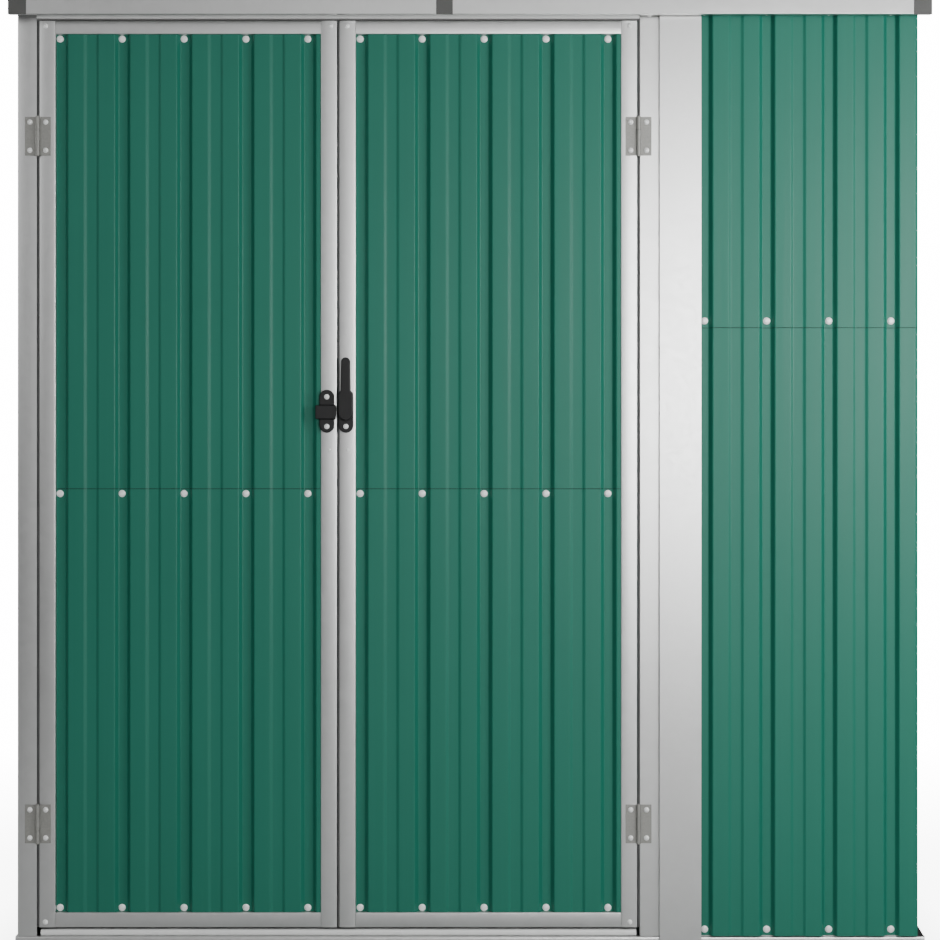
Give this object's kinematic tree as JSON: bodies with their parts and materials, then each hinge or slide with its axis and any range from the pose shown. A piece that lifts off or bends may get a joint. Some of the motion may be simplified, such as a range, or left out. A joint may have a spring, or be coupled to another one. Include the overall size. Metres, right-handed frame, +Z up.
{
  "type": "metal storage shed",
  "caption": "Pent-roof garden shed of ribbed green steel sheet on a galvanised frame, with double hinged doors, a fixed front panel and a turning latch lever.",
  "frame": {"origin": "on the ground, under the middle of the shed's bounding box", "axes": "+Z up, +Y from the doors to the back wall, +X to the right when facing the doors"},
  "size_m": [1.92, 1.08, 2.23],
  "materials": {
    "galvanised_steel": "galvanised, satin",
    "green_sheet": "coil-coated, semi-gloss",
    "hinge_steel": "zinc-plated, satin",
    "grey_plastic": "moulded, matt",
    "black_plastic": "moulded, satin"
  },
  "bodies": {
    "root": {"base_rail_front": "galvanised_steel", "base_rail_back": "galvanised_steel", "base_rail_left": "galvanised_steel", "base_rail_right": "galvanised_steel", "corner_post_front_left": "galvanised_steel", "corner_post_front_right": "galvanised_steel", "corner_post_back_left": "galvanised_steel", "corner_post_back_right": "galvanised_steel", "door_jamb": "galvanised_steel", "cover_strip": "galvanised_steel", "header_rails": "galvanised_steel", "door_sill": "galvanised_steel", "bottom_rails": "galvanised_steel", "mid_rails": "galvanised_steel", "top_rail_front": "galvanised_steel", "top_rail_back": "galvanised_steel", "top_rails_side": "galvanised_steel", "front_sheet_lower": "green_sheet", "front_sheet_upper": "green_sheet", "left_sheet_lower": "green_sheet", "left_sheet_upper": "green_sheet", "right_sheet_lower": "green_sheet", "right_sheet_upper": "green_sheet", "back_sheet_lower": "green_sheet", "back_sheet_upper": "green_sheet", "roof_beams": "galvanised_steel", "roof_sheet_left": "green_sheet", "roof_sheet_right": "green_sheet", "roof_trim_front": "galvanised_steel", "roof_trim_back": "galvanised_steel", "roof_trims_side": "galvanised_steel", "roof_corner_caps": "grey_plastic", "roof_trim_joiners": "grey_plastic", "base_gussets": "black_plastic", "fixed_hinge_leaves": "hinge_steel"},
    "left_door": {"left_door_stiles": "galvanised_steel", "left_door_rails": "galvanised_steel", "left_door_sheet_lower": "green_sheet", "left_door_sheet_upper": "green_sheet", "left_door_hinge_leaves": "hinge_steel", "latch_keeper": "black_plastic"},
    "right_door": {"right_door_stiles": "galvanised_steel", "right_door_rails": "galvanised_steel", "right_door_sheet_lower": "green_sheet", "right_door_sheet_upper": "green_sheet", "right_door_hinge_leaves": "hinge_steel", "latch_base": "black_plastic"},
    "lever": {"latch_lever": "black_plastic"}
  },
  "joints": [
    {"name": "left_door_hinge", "type": "hinge", "parent": "root", "child": "left_door", "pos_m": [-0.905, -0.5045, 0.995], "axis": [0, 0, -1], "range_deg": [0, 160]},
    {"name": "right_door_hinge", "type": "hinge", "parent": "root", "child": "right_door", "pos_m": [0.353, -0.5045, 0.995], "axis": [0, 0, 1], "range_deg": [0, 160]},
    {"name": "latch_lever_pivot", "type": "hinge", "parent": "right_door", "child": "lever", "pos_m": [-0.2595, -0.515, 1.135], "axis": [0, 1, 0], "range_deg": [0, 90]}
  ]
}
